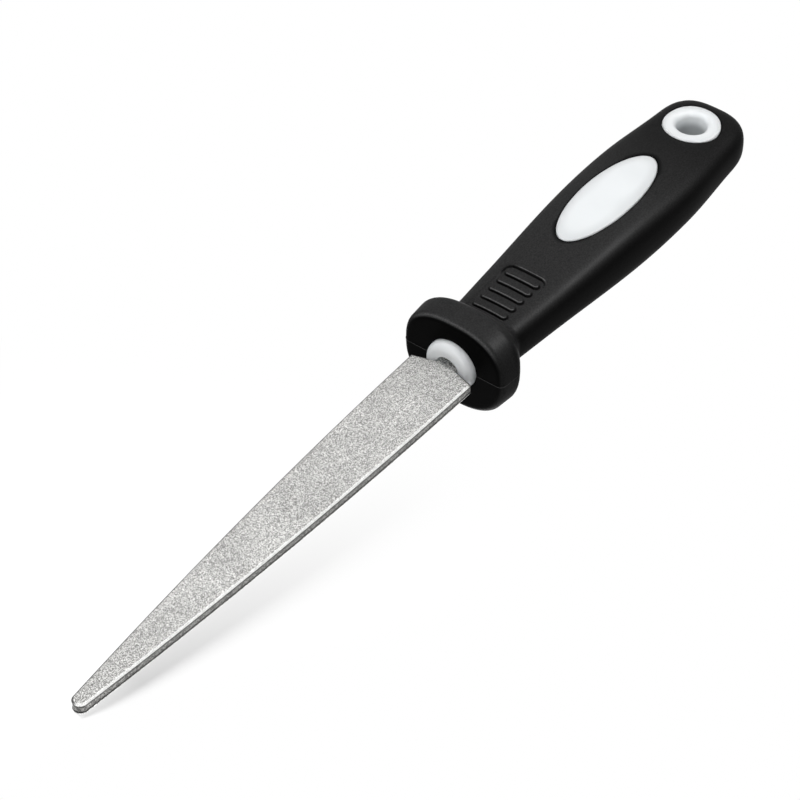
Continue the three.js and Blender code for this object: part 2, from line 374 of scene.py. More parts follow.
gritEdge = {  # profile of the layer's edge from its seat to its face, and where its marks lie
    "inset": [0.05, 0.0, 0.02, 0.06, 0.38, 0.44, 0.50, 0.60, 0.78],  # how far it is drawn in
    "height": [0.0, 0.03, 0.09, 0.13, 0.43, 0.485, 0.523, 0.547, 0.55],
    # painted highlight across the edge profile
    "paintedHighlight": [0.0, 0.5, 1.0, 1.0, 1.0, 0.9, 0.2, 0.0, 0.0],
    # painted shade across the edge profile
    "dark": [1.0, 1.0, 1.0, 1.0, 0.9, 0.7, 0.2, 0.0, 0.0],
    "across": [0.9, 0.6, 0.3, 0.0],  # shares of the half width at which lines run along the face
    "paintedHighlightAcross": (-0.3, 0.3),  # across y, where the side with the painted highlight gives way to the painted shade
    "paintedHighlightFrom": (-0.9, -0.3),  # along x, where the painted highlight of the long edge ends at the shoulder
    "tipFrom": (-131.4, -130.6),  # along x, where the painted highlight goes round the tip
    "tipTo": (-0.6, 0.9),  # across y, where it ends there
    "shoulderShade": 0.12,  # painted shade: how much darker the face is at the shoulders, next to the nose
    "shoulderShadeFrom": (-8.0, 1.0),  # along x, where that comes in
}


def edgeLine(inset):
    # Formula: the half outline of the blade from the middle of its back over the shoulder, along a
    # quadratic curve that bows out by the belly, and round the tip's quarter circle, every part drawn in
    # by the inset. With it come the places on the middle line that its points are joined to, spread over
    # the shoulder's rise
    back, shoulder, side, tip = blade["edgeLine"]
    half = blade["width"] / 2 - inset
    tipRadius = blade["tipRadius"] - inset
    tipX = blade["tipRadius"] - blade["length"]
    backX = blade["shoulderRise"] - inset
    backY = np.linspace(0, blade["tangWidth"] / 2, back)
    share = np.linspace(0, 1, shoulder)[1:]
    shoulderX = backX - blade["shoulderRise"] * share
    shoulderY = backY[-1] + (half - backY[-1]) * share
    share = np.linspace(0, 1, side)[1:]
    bow = (half + tipRadius) / 2 + 2 * blade["belly"]
    sideX = -inset * (1 - share) ** 2 + tipX * share * (1 - share) + tipX * share**2
    sideY = half * (1 - share) ** 2 + 2 * bow * share * (1 - share) + tipRadius * share**2
    turn = np.linspace(0, quarterTurn, tip)[1:]
    x = np.concatenate([np.full(back, backX), shoulderX, sideX, tipX - tipRadius * np.sin(turn)])
    y = np.concatenate([backY, shoulderY, sideY, tipRadius * np.cos(turn)])
    middle = x.copy()
    middle[:back + shoulder - 1] = np.linspace(backX, shoulderX[-1], back + shoulder - 1)
    return x, y, middle


def gritMarks(points):
    # Formula: the profile's painted highlight on one long edge and round the tip, its painted shade on the
    # rest of the edge, and a little painted shade on the face towards the shoulders, next to the nose
    along, across = points[..., 0], points[..., 1]
    roundTip = (1 - smoothStep(*gritEdge["tipFrom"], along)) * (1 - smoothStep(*gritEdge["tipTo"], across))
    paintedHighlightSide = np.maximum(1 - smoothStep(*gritEdge["paintedHighlightAcross"], across), roundTip)
    paintedHighlightSide = paintedHighlightSide * (1 - smoothStep(*gritEdge["paintedHighlightFrom"], along))
    shoulderShade = gritEdge["shoulderShade"] * smoothStep(*gritEdge["shoulderShadeFrom"], along)
    face = np.zeros(len(gritEdge["across"]))
    halves = [np.concatenate([face, gritEdge[profile], face]) for profile in ("paintedHighlight", "dark")]
    paintedHighlight, dark = (np.concatenate([half, half[-2:0:-1]]) for half in halves)
    return [("paintedHighlight", paintedHighlight * paintedHighlightSide), ("paintedShade", np.maximum(dark, shoulderShade) * (1 - paintedHighlightSide))]


def drawnIn(line, height):
    # Formula: the outline's points moved to shares of their way out from the middle line
    x, y, middle = line
    return [(middle + (x - middle) * share, y * share, height) for share in gritEdge["across"]]


def gritLayer(side):
    # Formula: the edge profile carried round the half outline, its two ends drawn in to the middle line,
    # and the other half as the mirror image in y
    lines = [edgeLine(inset) for inset in gritEdge["inset"]]
    heights = [blade["seat"] + rise for rise in gritEdge["height"]]
    seat, face = drawnIn(lines[0], heights[0]), drawnIn(lines[-1], heights[-1])
    edge = [(x, y, height) for (x, y, middle), height in zip(lines, heights)]
    half = np.stack([np.stack([x, y, np.full_like(x, z)], -1) for x, y, z in seat[::-1] + edge + face], 1)
    points = np.concatenate([half, half[:, -2:0:-1] * [1, -1, 1]], 1) * [1, 1, side]
    return points, gridFaces(points), gritMarks(points)


for name, side in (("top", 1), ("bottom", -1)):
    addPiece(f"grit_{name}", gritLayer(side), gritSkin, f"diamond_layer_{name}")
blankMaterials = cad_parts["file_blank"].data.materials
blankMaterials.clear()
blankMaterials.append(steelSkin)


# Soft grip

grip = {
    "front": 4.4,
    "end": perMetre * cadHigh[0] - toolZero[0],
    "guardWidth": 30.6,
    "guardHeight": 27.0,
    "guardLength": 6.0,
    "guardEdge": 1.7,
    "guardFlare": 0.3,  # the rim stands out this much more at its back
    "guardSquareness": 2.5,
    "squareness": 2.9,  # of the sections: 2 is an ellipse, more is squarer
    "sectionAt": [18.6, 33.0, 68.0, 88.0, 107.2, 120.8],
    "sectionWidth": [20.2, 22.6, 27.9, 28.6, 25.3, 23.0],
    "sectionHeight": [13.8, 14.8, 18.5, 17.0, 15.2, 15.0],
    "buttRound": 11.7,
    "buttFullness": 2.8,
    "noseHole": 7.12,
    "noseHoleDepth": 9.6,
    "noseHoleWall": [(0.5, 1), (0.12, 1.003)],  # depth, and share of the hole's radius
    "noseHoleMouth": 1.02,  # the same share on the front face
    "partingRidge": 0.08,
    "partingHalfWidth": 0.12,
    "partingLane": 0.36,  # so far from the moulding line, the front's lines run beside it
}
gripLines = {
    "edge": 9,  # stations along x on the guard's rounded edge, its rim, its flank and the butt
    "rim": 6,
    "flank": 20,
    "butt": 20,
    "parting": (1, 2.5),  # the first lines beside the moulding line, in half widths of it
    "partingMost": (0.02, 0.05),  # and at most at these shares of the half height
    "side": (0.1, 0.2, 0.3, 0.4, 0.5, 0.6, 0.7, 0.79, 0.86, 0.91, 0.945, 0.97, 1.0),  # on up to the band
    "band": [(1, 0.6, 20), (0.6, 0, 9)],  # from and to, as shares of the band's half width, and how many
    "bandAt": [37, 45, 91, 98],  # along x, where the band changes from the pocket's width to each window's
    "warped": 9,  # lines beside the band that still follow the windows' warp
    "front": (0, 0.04, 0.12, 0.25, 0.4, 0.55, 0.7, 0.84, 0.94),  # from the nose hole to the guard's edge
}
windows = {  # reach is how far the warp round a window goes, lines and lead are stations over and before it
    "oval": {"at": 69.2, "halfLength": 19.75, "halfWidth": 7.1, "reach": 1.3, "lines": 48, "lead": 12},
    "ring": {"at": 107.2, "halfLength": 7.6, "halfWidth": 7.6, "reach": 1.26, "lines": 30, "lead": 8},
}
windowEdge = {
    "seam": 0.1,
    "round": 0.28,
    "drop": 0.16,
    "proud": 0.15,  # the core stands out this much
    "lead": 0.25,  # from a window's end to the next station
}
ribs = {
    "count": 5,
    "pitch": 3.3,
    "width": 2.0,
    "length": 10.0,
    "first": 19.8,
    "proud": 0.08,
    "barCorner": 0.99,  # just under half the width
    "barWall": (-0.12, 0.08),  # how far outside its outline a bar's side starts and ends
    "margin": 1.5,
    "marginAcross": 0.8,
    "corner": 1.7,
    "wall": (0.12, 1.3),  # half the slope of the pocket's wall at its far end and beside the guard
    "wallFrom": (2.0, 8.0),  # distance from the far end over which the wall eases off
    "depth": (0.52, 0.68),  # of the pocket next to the guard's flank and at its other end
    "runIn": (15.8, 18.7),  # over this stretch the pocket's floor leaves the flank
    "above": 2.0,  # only what lies higher than this has ribs
    "linesPerPitch": 24,
}
rimEnd = grip["front"] + grip["guardLength"]
buttStart = grip["sectionAt"][-1] - grip["buttRound"]


def smoothLine(x, at, values):
    # Formula: on each span between two stations, a cubic through both whose slope at a station is the chord
    # from the station before it to the one after, with no bend at the two ends
    at, values = np.array(at), np.array(values)
    span = np.clip(np.searchsorted(at, x, side="right") - 1, 0, len(at) - 2)
    before = np.where(span > 0, span - 1, span + 1)
    after = np.where(span < len(at) - 2, span + 2, span)
    start, stop = at[span], at[span + 1]
    half = (stop - start) / 2
    early = half / (start - at[before])  # weights of the stations before and after the span
    late = half / (at[after] - stop)
    share = (x - start) / (stop - start)
    return (
        values[before] * early * (2 * share**2 - share**3 - share)
        + values[span] * ((1 + early) * share**3 - (1.5 + 2 * early) * share**2 + (early - 0.5) * share + 1)
        + values[span + 1] * ((1.5 + late) * share**2 - (1 + late) * share**3 + 0.5 * share)
        + values[after] * late * (share**3 - share**2)
    )


def gripSection(x):
    # Formula: half width, half height and squareness of the section at x. The guard's front edge is a
    # quarter round, its rim flares to the back, a half cosine wave leads down to the neck, a smooth line
    # follows the handle, and the butt closes as a superellipse
    neckAt = grip["sectionAt"][0]
    edge = grip["guardEdge"]
    down = (1 - np.cos(math.pi * np.clip((x - rimEnd) / (neckAt - rimEnd), 0, 1))) / 2
    short = np.clip(1 - (x - grip["front"]) / edge, 0, 1)
    upRim = np.clip((x - grip["front"] - edge) / (grip["guardLength"] - edge), 0, 1)
    drawn = edge * (1 - np.sqrt(1 - short**2)) + grip["guardFlare"] * (1 - upRim)
    closed = np.clip((x - buttStart) / (grip["end"] - buttStart), 0, 1)
    left = (1 - closed ** grip["buttFullness"]) ** (1 / grip["buttFullness"])
    sizes = []
    for guard, section in (("guardWidth", "sectionWidth"), ("guardHeight", "sectionHeight")):
        behind = smoothLine(np.maximum(x, neckAt), grip["sectionAt"], grip[section])
        full = grip[guard] + (behind - grip[guard]) * down
        sizes.append(np.maximum((full / 2 - drawn) * left, tiny))
    return *sizes, grip["guardSquareness"] + (grip["squareness"] - grip["guardSquareness"]) * down


def gripHeight(x, y):
    # Formula: height of the superellipse section over y, h (1 - |y/w|^n)^(1/n)
    halfWidth, halfHeight, power = gripSection(x)
    return halfHeight * np.maximum(1 - np.abs(y / halfWidth) ** power, 0) ** (1 / power)


def roundedBox(x, y, halfLength, halfWidth, corner):
    # Formula: distance outside a rounded rectangle in plan, negative inside it
    outX, outY = np.abs(x) - halfLength + corner, np.abs(y) - halfWidth + corner
    outside = np.hypot(np.maximum(outX, 0), np.maximum(outY, 0))
    return outside + np.minimum(np.maximum(outX, outY), 0) - corner


def ribPlan(x, y):
    # Formula: how far a place lies outside the pocket and outside the nearest bar, both rounded
    # rectangles in plan, where it lies across that bar, and how far it lies before the pocket's far end
    halfWidth, halfLength = ribs["width"] / 2, ribs["length"] / 2
    run = (ribs["count"] - 1) * ribs["pitch"]
    start, end = ribs["runIn"][0], ribs["first"] + run + halfWidth + ribs["margin"]
    pocketX, pocketWidth = x - (start + end) / 2, halfLength + ribs["marginAcross"]
    outside = roundedBox(pocketX, y, (end - start) / 2, pocketWidth, ribs["corner"])
    nearest = np.clip(np.round((x - ribs["first"]) / ribs["pitch"]), 0, ribs["count"] - 1)
    barX = x - ribs["first"] - nearest * ribs["pitch"]
    fromBar = roundedBox(barX, y, halfWidth, halfLength, ribs["barCorner"])
    return outside, fromBar, barX, end - x


def ribRelief(x, y):
    # Formula: a pocket whose floor leaves the guard's flank and sinks on steadily, and whose side walls
    # ease off towards the guard, less five round-ended bars that rise from the floor to a little above
    # the grip
    outside, fromBar, _, fromEnd = ribPlan(x, y)
    near, far = ribs["depth"]
    depth = far + (near - far) * np.clip(fromEnd / (ribs["count"] * ribs["pitch"]), 0, 1)
    depth = depth * smoothStep(*ribs["runIn"], x)
    steep, easy = ribs["wall"]
    wall = steep + (easy - steep) * smoothStep(*ribs["wallFrom"], fromEnd)
    pocket = depth * (1 - smoothStep(-wall, wall, outside))
    bar = (depth + ribs["proud"]) * (1 - smoothStep(*ribs["barWall"], fromBar))
    return bar - pocket


def alongLines():
    # Stations along the grip, close together on the guard's edge, over the ribs, at the windows and at
    # the butt, and the numbers of the stations at the two ends of each window
    front, edge = grip["front"], grip["guardEdge"]
    edgeTurn = np.linspace(0, quarterTurn, gripLines["edge"])
    perPitch = ribs["linesPerPitch"]
    ribLines = ribs["first"] + ribs["pitch"] / perPitch * np.arange(-perPitch, ribs["count"] * perPitch)
    groups = [
        front + edge * (1 - np.cos(edgeTurn)),
        np.linspace(front + edge, rimEnd, gripLines["rim"])[1:],
        np.linspace(rimEnd, ribLines[0], gripLines["flank"])[1:-1],
        ribLines,
    ]
    spans = []
    for window in windows.values():
        reach = window["halfLength"] + windowEdge["seam"]
        first, last = window["at"] - reach, window["at"] + reach
        groups.append(np.linspace(groups[-1][-1], first - windowEdge["lead"], window["lead"])[1:])
        start = sum(map(len, groups))
        spans.append((start, start + window["lines"]))
        groups.append(np.linspace(first, last, window["lines"] + 1))
        groups.append(np.array([last + windowEdge["lead"]]))
    closed = np.arcsin((groups[-1][0] - buttStart) / (grip["end"] - buttStart))
    buttTurn = np.linspace(closed, quarterTurn, gripLines["butt"])[1:]
    groups.append(buttStart + (grip["end"] - buttStart) * np.sin(buttTurn))
    return np.concatenate(groups), spans


def bandHalfWidth(x):
    # Half width of the band of straight lines along the top: the ribs' pocket, then each window
    pocket = ribs["length"] / 2 + ribs["margin"]
    oval = windows["oval"]["halfWidth"] + windowEdge["seam"]
    ring = windows["ring"]["halfWidth"] + windowEdge["seam"]
    ringEnd = windows["ring"]["at"] + ring
    band = np.interp(x, gripLines["bandAt"], [pocket, oval, oval, ring])
    share = gripSection(np.maximum(x, ringEnd))[0] / gripSection(np.array([ringEnd]))[0]
    return band * share


def openWindow(x, y, window):
    # Formula: in the window's own scale each square ring of grid lines is drawn in to a circle at the
    # window's edge, by the power w of (largest coordinate / distance), with w fading from 1 at the edge
    # to 0 at the reach
    halfLength = window["halfLength"] + windowEdge["seam"]
    halfWidth = window["halfWidth"] + windowEdge["seam"]
    ownX, ownY = (x - window["at"]) / halfLength, y / halfWidth
    largest = np.maximum(np.maximum(np.abs(ownX), np.abs(ownY)), tiny)
    distance = np.maximum(np.hypot(ownX, ownY), tiny)
    factor = (largest / distance) ** (1 - smoothStep(1, window["reach"], largest))
    ownX, ownY = ownX * factor, ownY * factor
    distance = np.maximum(np.hypot(ownX, ownY), tiny)
    fromEdge = np.maximum(distance - 1, 0) * np.hypot(ownX * halfLength, ownY * halfWidth) / distance
    drop = windowEdge["drop"] * np.maximum(1 - fromEdge / windowEdge["round"], 0) ** 2
    return window["at"] + ownX * halfLength, ownY * halfWidth, drop


def gripTop(stations):
    # Formula: over stations x and lines across, the upper half of the superellipse sections, with the
    # window warp, the rib relief and the ridge of the moulding line, and the numbers of the band's two
    # outer lines
    along = stations[:, None]
    halfWidth, halfHeight, power = gripSection(along)
    band = bandHalfWidth(along)
    bandTurn = np.arccos(np.minimum(band / halfWidth, 1) ** (power / 2))
    beside = grip["partingHalfWidth"] * np.array([gripLines["parting"]])
    lowZ = np.minimum(beside, np.array([gripLines["partingMost"]]) * halfHeight)
    lowTurn = np.arcsin((lowZ / halfHeight) ** (power / 2))
    upTurn = lowTurn[:, 1:] + (bandTurn - lowTurn[:, 1:]) * np.array([gripLines["side"]])
    turn = np.concatenate([0 * along, lowTurn, upTurn], 1)
    sideY = halfWidth * np.cos(turn) ** (2 / power)
    inner = np.concatenate([np.linspace(*part)[1:] for part in gripLines["band"]])
    bandY = band * np.concatenate([inner, -inner[-2::-1]])
    y = np.concatenate([sideY, bandY, -sideY[:, ::-1]], 1)
    columns = y.shape[1]
    firstBand = sideY.shape[1] - 1
    lastBand = columns - 1 - firstBand
    z = np.concatenate([halfHeight * np.sin(turn) ** (2 / power), gripHeight(along, bandY)], 1)
    z = np.concatenate([z, z[:, firstBand::-1]], 1)
    x = along + 0 * y

    drop = 0 * y
    for window in windows.values():
        x, y, lowered = openWindow(x, y, window)
        drop = drop + lowered
    line = np.arange(columns)
    onSide = (line < firstBand - gripLines["warped"]) | (line > lastBand + gripLines["warped"])
    z = np.where(onSide, z, gripHeight(x, y)) - drop
    z = z + np.where(z > ribs["above"], ribRelief(x, y), 0)

    edgeTurn = np.arcsin(np.clip(1 - (stations - grip["front"]) / grip["guardEdge"], 0, 1))
    fade = np.clip((rimEnd - stations) / (grip["guardLength"] - grip["guardEdge"]), 0, 1)
    ridge = grip["partingRidge"] * fade
    for column, side in ((0, 1), (-1, -1)):
        x[:, column] -= ridge * np.sin(edgeTurn)
        y[:, column] += side * ridge * np.cos(edgeTurn)
    return np.stack([x, y, z], -1), firstBand, lastBand


def guardFront(outer):
    # Formula: from the nose hole's middle out along its floor, up its wall and straight on to each point
    # of the guard's edge; next to the moulding line the lines keep their distance from it
    y, z = outer[:, 1], outer[:, 2]
    angle = np.arctan2(z, y)
    least = np.arcsin(np.minimum(np.abs(z), grip["partingLane"]) / grip["noseHole"])
    fromSide = np.maximum(np.minimum(np.abs(angle), math.pi - np.abs(angle)), least)
    angle = np.where(np.abs(angle) < quarterTurn, fromSide, math.pi - fromSide)
    angle = np.where(z < 0, -angle, angle)
    rim = np.stack([np.cos(angle), np.sin(angle)], -1)
    rows = []
    for deep, radius in [(grip["noseHoleDepth"], 0), (grip["noseHoleDepth"], 1), *grip["noseHoleWall"]]:
        wallX = np.full(len(outer), grip["front"] + deep)
        rows.append(np.column_stack([wallX, grip["noseHole"] * radius * rim]))
    mouth = grip["noseHole"] * grip["noseHoleMouth"] * rim
    for share in gripLines["front"]:
        rows.append(np.column_stack([outer[:, 0], mouth + (outer[:, 1:] - mouth) * share]))
    return np.stack(rows)


def windowWall(first, last, firstBand, lastBand, around):
    # Formula: the loop of points round a window, with each one above joined to its mirror image below
    acrossLine, alongLine = np.arange(firstBand, lastBand), np.arange(first, last)
    across, along = np.ones_like(acrossLine), np.ones_like(alongLine)
    row = np.concatenate([first * across, alongLine, last * across, alongLine[::-1] + 1])
    column = np.concatenate([acrossLine, lastBand * along, acrossLine[::-1] + 1, firstBand * along])
    upper, lower = row * around + column, row * around + around - column
    return np.stack([upper, np.roll(upper, -1), np.roll(lower, -1), lower], -1)


def softGrip():
    # Formula: the upper half and its mirror image in z, with the guard's front before them; the faces
    # over each window are left out, and walls join its upper edge to its lower one
    stations, spans = alongLines()
    top, firstBand, lastBand = gripTop(stations)
    body = np.concatenate([top, top[:, -2:0:-1] * [1, 1, -1]], 1)
    front = guardFront(body[0])
    around = body.shape[1]
    points = np.concatenate([front, body], 0)
    faces = gridFaces(points)
    keep = np.ones(faces.shape[:2], bool)
    walls = []
    for span in spans:
        first, last = (station + len(front) for station in span)
        keep[first:last, firstBand:lastBand] = False
        keep[first:last, around - lastBand:around - firstBand] = False
        walls.append(windowWall(first, last, firstBand, lastBand, around))
    return points, np.concatenate([faces[keep], *walls]), []


# Painted light: broad faces painted paler as if lit from above, sides darker, faces turned to the front
# left black as in shade
paintedLight = {  # painted light and shade on the rubber, from 0 to 1
    "side": 0.036,
    "top": 0.23,  # on the broad faces
    "butt": 0.1,  # on the broad faces at the butt
    "buttFrom": (70.0, 108.0),
    "lean": (30.0, 68.0),  # degrees of lean over which it fades towards the sides
    "rim": 0.14,  # on the guard's side
    "rimFade": 1.0,  # on either side of the rim's end
    "front": (0.68, 0.97),  # how far a face has turned to the front where it loses all painted light and stays black as in shade
    "parting": 0.6,  # on the moulding line of the guard
    "partingHalf": 0.05,  # height of that line on either side of the middle
    "ribEdge": 0.95,  # painted highlight along the edges of the bars and of the pocket
    "ribFlat": 0.8,  # how far a face has turned up where it shows these edges
    "edgeAt": (0.24, 0.13),  # how far in from a bar's side its bright edge runs, and its half width
    "edgeTurn": (-0.6, -0.2),  # where the bright edge ends as it goes round a bar's end
    "edgeSlant": 0.06,  # and how far that place moves along the bar
    "edgeFrom": (1.5, 3.5),  # distance from the pocket's far end over which its bright edge goes out
    "edgeEnds": ((2.0, 4.5), (4.6, 5.6)),  # and distance from the middle, to +y and to -y
    "crevice": (0.09, 0.12),  # how far out from a bar's side its line of painted shade runs, and its half width
    "creviceFrom": (2.5, 6.0),  # distance from the pocket's far end over which its dark line goes out
    "creviceEnds": (4.4, 5.6),  # distance from the middle over which it grows fainter
    "creviceLoss": 0.6,  # by this share
    "pocketSide": 0.24,  # how dark the painted shade on the pocket's shaded long side is
    "pocketSideAt": (0.3, 0.3),  # how far out from that side its line runs, and its half width
    "pocketSideFrom": (4.0, 5.4),  # y over which it comes in
    "seam": 0.3,  # width of the dark edge of each window, painted shade in its seam
    "guardEdge": 0.52,  # painted highlight along the guard's front edge
    "guardEdgeAt": (0.42, 0.28),  # distance of that line from the front, and its half width
    "guardEdgeFrom": (0.1, 0.35),  # distances from the front over which it comes in
    "guardEdgeClear": 1.0,  # and its least distance from the nose hole
}


def ribPaintedLight(x, y):
    # Formula: bell curves beside the outlines of the bars and of the pocket, first the painted highlights
    # along their edges, then the painted shade in the crevices below them and along the pocket's shaded
    # side
    outside, fromBar, barX, fromEnd = ribPlan(x, y)
    (edgeAt, edgeWide), (creviceAt, creviceWide) = paintedLight["edgeAt"], paintedLight["crevice"]
    barEnd = 1 - smoothStep(*paintedLight["edgeTurn"], barX + paintedLight["edgeSlant"] * y)
    barEdge = bell(fromBar, -edgeAt, edgeWide) * barEnd
    pocketEdge = bell(outside, edgeAt, edgeWide) * (1 - smoothStep(*paintedLight["edgeFrom"], fromEnd))
    for side, fade in zip((1, -1), paintedLight["edgeEnds"]):
        pocketEdge = pocketEdge * (1 - smoothStep(*fade, side * y))
    barDark = bell(fromBar, creviceAt, creviceWide)
    pocketDark = bell(outside, -creviceAt, creviceWide) * (1 - smoothStep(*paintedLight["creviceFrom"], fromEnd))
    pocketDark = pocketDark * (1 - paintedLight["creviceLoss"] * smoothStep(*paintedLight["creviceEnds"], np.abs(y)))
    sideDark = paintedLight["pocketSide"] * bell(outside, *paintedLight["pocketSideAt"])
    sideDark = sideDark * smoothStep(*paintedLight["pocketSideFrom"], y) * smoothStep(*ribs["runIn"], x)
    return np.maximum(barEdge, pocketEdge), np.maximum.reduce([barDark, pocketDark, sideDark])


def addPaintedLight(piece):
    # Formula: painted light, from the normal's lean from the vertical: a smooth step from the broad faces,
    # painted lighter as if lit from above, to the darker sides, less at the butt, with the ribs' painted
    # highlights and shade, nothing at the windows' seams or on faces turned to the front, which stay black
    # as in shade, a painted highlight in a bell curve along the guard's front edge, and one value on its
    # moulding line
    mesh = piece.data
    places = np.empty(3 * len(mesh.vertices))
    normals = np.empty(3 * len(mesh.vertices))
    mesh.vertices.foreach_get("co", places)
    mesh.vertex_normals.foreach_get("vector", normals)
    x, y, z = (perMetre * places.reshape(-1, 3) - toolZero).T
    normalX, normalY, normalZ = normals.reshape(-1, 3).T
    lean = np.degrees(np.arctan2(np.abs(normalY), np.abs(normalZ)))
    onSide = smoothStep(*paintedLight["lean"], lean)
    behindRim = smoothStep(rimEnd - paintedLight["rimFade"], rimEnd + paintedLight["rimFade"], x)
    broad = paintedLight["top"] + (paintedLight["butt"] - paintedLight["top"]) * smoothStep(*paintedLight["buttFrom"], x)
    side = paintedLight["side"] + (paintedLight["rim"] - paintedLight["side"]) * (1 - behindRim)
    amount = broad + (side - broad) * onSide
    pale, dark = ribPaintedLight(x, y)
    amount = amount + paintedLight["ribEdge"] * (np.abs(normalZ) > paintedLight["ribFlat"]) * pale
    amount = amount * (1 - dark)
    for window in windows.values():
        out = np.hypot((x - window["at"]) / window["halfLength"], y / window["halfWidth"])
        amount = amount * smoothStep(0, paintedLight["seam"], (out - 1) * window["halfWidth"] - windowEdge["seam"])
    amount = amount * (1 - smoothStep(*paintedLight["front"], -normalX))
    fromFront = x - grip["front"]
    onEdge = bell(fromFront, *paintedLight["guardEdgeAt"]) * (1 - onSide)
    onEdge = onEdge * smoothStep(*paintedLight["guardEdgeFrom"], fromFront)
    clearOfHole = np.hypot(y, z) > grip["noseHole"] + paintedLight["guardEdgeClear"]
    amount = amount + paintedLight["guardEdge"] * onEdge * clearOfHole
    onParting = (np.abs(z) < paintedLight["partingHalf"]) & (x < rimEnd)
    amount = np.where(onParting, paintedLight["parting"], amount)
    mesh.attributes.new("paintedLight", "FLOAT", "POINT").data.foreach_set("value", amount.astype(np.float32))


gripSharp = meshing["gripSharpAngle"]
gripSkin = addPiece("soft_grip_skin", softGrip(), rubberSkin, "soft_grip", gripSharp)
addPaintedLight(gripSkin)


# White core where it shows

nose = {
    "front": 2.0,
    "radius": 7.0,
    "round": 2.0,
    "boreRadius": 3.3,
    "boreRound": 0.4,
    "back": 13.6,
    "turns": 128,
    "roundLines": 12,
}


def noseRing():
    # Formula: a closed profile of distance along x against radius, with the quarter rounds of the nose
    # and of the bore's mouth, turned about the x axis
    turn = np.linspace(0, quarterTurn, nose["roundLines"])
    mouth = nose["front"] + nose["boreRound"], nose["boreRadius"] + nose["boreRound"]
    bull = nose["front"] + nose["round"], nose["radius"] - nose["round"]
    along = np.concatenate([[nose["back"]], mouth[0] - nose["boreRound"] * np.sin(turn),
                            bull[0] - nose["round"] * np.cos(turn), [nose["back"]]])
    radius = np.concatenate([[nose["boreRadius"]], mouth[1] - nose["boreRound"] * np.cos(turn),
                             bull[1] + nose["round"] * np.sin(turn), [nose["radius"]]])
    angle = np.linspace(0, fullTurn, nose["turns"], endpoint=False)[:, None]
    points = np.stack([along + 0 * angle, radius * np.cos(angle), radius * np.sin(angle)], -1)
    return points, gridFaces(points, ring=True), []


oval = {
    "edge": 0.32,  # rounding of the rim
    "crown": 0.35,  # the middle stands this much further out than the rim
    "rings": 21,
    "edgeRings": 8,
    "turns": 160,
    "shade": 0.2,  # how much darker the face is at its rim
    "shadeReach": 4.5,  # distance from the rim at which that ends
}


def ovalPlug():
    # Formula: ellipses from the middle out to a rounded rim, on the grip's own height plus a crown that
    # falls with the square of the way out, then the mirror image below, joined by the wall between the
    # two rims
    window, edge, rings = windows["oval"], oval["edge"], oval["rings"]
    turn = np.linspace(0, quarterTurn, oval["edgeRings"])
    share = np.concatenate([np.arange(rings) / rings, np.ones(oval["edgeRings"])])[:, None]
    inset = np.concatenate([np.full(rings, edge), edge * (1 - np.sin(turn))])[:, None]
    drop = np.concatenate([np.zeros(rings), edge * (1 - np.cos(turn))])[:, None]
    angle = np.linspace(0, fullTurn, oval["turns"], endpoint=False)[None, :]
    x = window["at"] + share * (window["halfLength"] - inset) * np.cos(angle)
    y = share * (window["halfWidth"] - inset) * np.sin(angle)
    z = gripHeight(x, y) + windowEdge["proud"] + oval["crown"] * (1 - share**2) - drop
    top = np.stack([x, y, z], -1)
    points = np.concatenate([top, top[::-1] * [1, 1, -1]], 0)
    rim = np.hypot(window["halfLength"] * np.cos(angle), window["halfWidth"] * np.sin(angle))
    shade = oval["shade"] * (1 - smoothStep(0, oval["shadeReach"], (1 - share) * rim))
    return points, gridFaces(points), [("shade", np.concatenate([shade, shade[::-1]]))]


hangRing = {
    "throat": 3.8,  # radius in the middle of the hole
    "mouth": 4.0,
    "mouthRound": 1.6,
    "edge": 0.32,
    "grooveAt": 6.8,
    "grooveWidth": 0.22,
    "grooveDepth": 0.07,
    "shade": 0.78,  # how much darker the hole is inside
    "shadeFrom": (0.08, 0.55),  # share of the way to its middle over which it darkens
    "turns": 128,
    "roundLines": 10,
    "faceLines": 26,
    "holeLines": 17,
}


def ringPlug():
    # Formula: a profile of radius against drop from the grip's own height, with the rounded rim, a fine
    # groove and the rounded mouth of the hole, then a cone down to the throat, turned about the hang
    # hole's axis; the mirror image below closes it
    window, edge, mouthRound = windows["ring"], hangRing["edge"], hangRing["mouthRound"]
    turn = np.linspace(0, quarterTurn, hangRing["roundLines"])
    outer, inner = window["halfLength"] - edge, hangRing["mouth"] + mouthRound
    flat = np.linspace(outer, inner, hangRing["faceLines"])[1:-1]
    radius = np.concatenate([window["halfLength"] - edge * (1 - np.cos(turn)), flat,
                             hangRing["mouth"] + mouthRound * (1 - np.sin(turn))])[:, None]
    groove = hangRing["grooveDepth"] * bell(flat, hangRing["grooveAt"], hangRing["grooveWidth"])
    drop = np.concatenate([edge * (1 - np.sin(turn)), groove, mouthRound * (1 - np.cos(turn))])[:, None]
    angle = np.linspace(0, fullTurn, hangRing["turns"], endpoint=False)[None, :]
    x = window["at"] + radius * np.cos(angle)
    y = radius * np.sin(angle)
    face = np.stack([x, y, gripHeight(x, y) + windowEdge["proud"] - drop], -1)
    deep = np.linspace(1, 0, hangRing["holeLines"])[1:, None, None]
    throatX, throatY = window["at"] + hangRing["throat"] * np.cos(angle), hangRing["throat"] * np.sin(angle)
    throat = np.stack([throatX, throatY, 0 * angle], -1)
    top = np.concatenate([face, throat + (face[-1:] - throat) * deep], 0)
    points = np.concatenate([top, top[-2::-1] * [1, 1, -1], top[:1]], 0)
    inHole = hangRing["shade"] * smoothStep(*hangRing["shadeFrom"], 1 - deep.ravel())
    shade = np.concatenate([np.zeros(len(face)), inHole])
    shade = np.concatenate([shade, shade[-2::-1], shade[:1]])[:, None] + 0 * angle
    return points, gridFaces(points), [("shade", shade)]


for name, surface in (("core_nose", noseRing()), ("core_oval", ovalPlug()), ("core_ring", ringPlug())):
    addPiece(name, surface, plasticSkin, "handle_core")


# Floor, light and camera

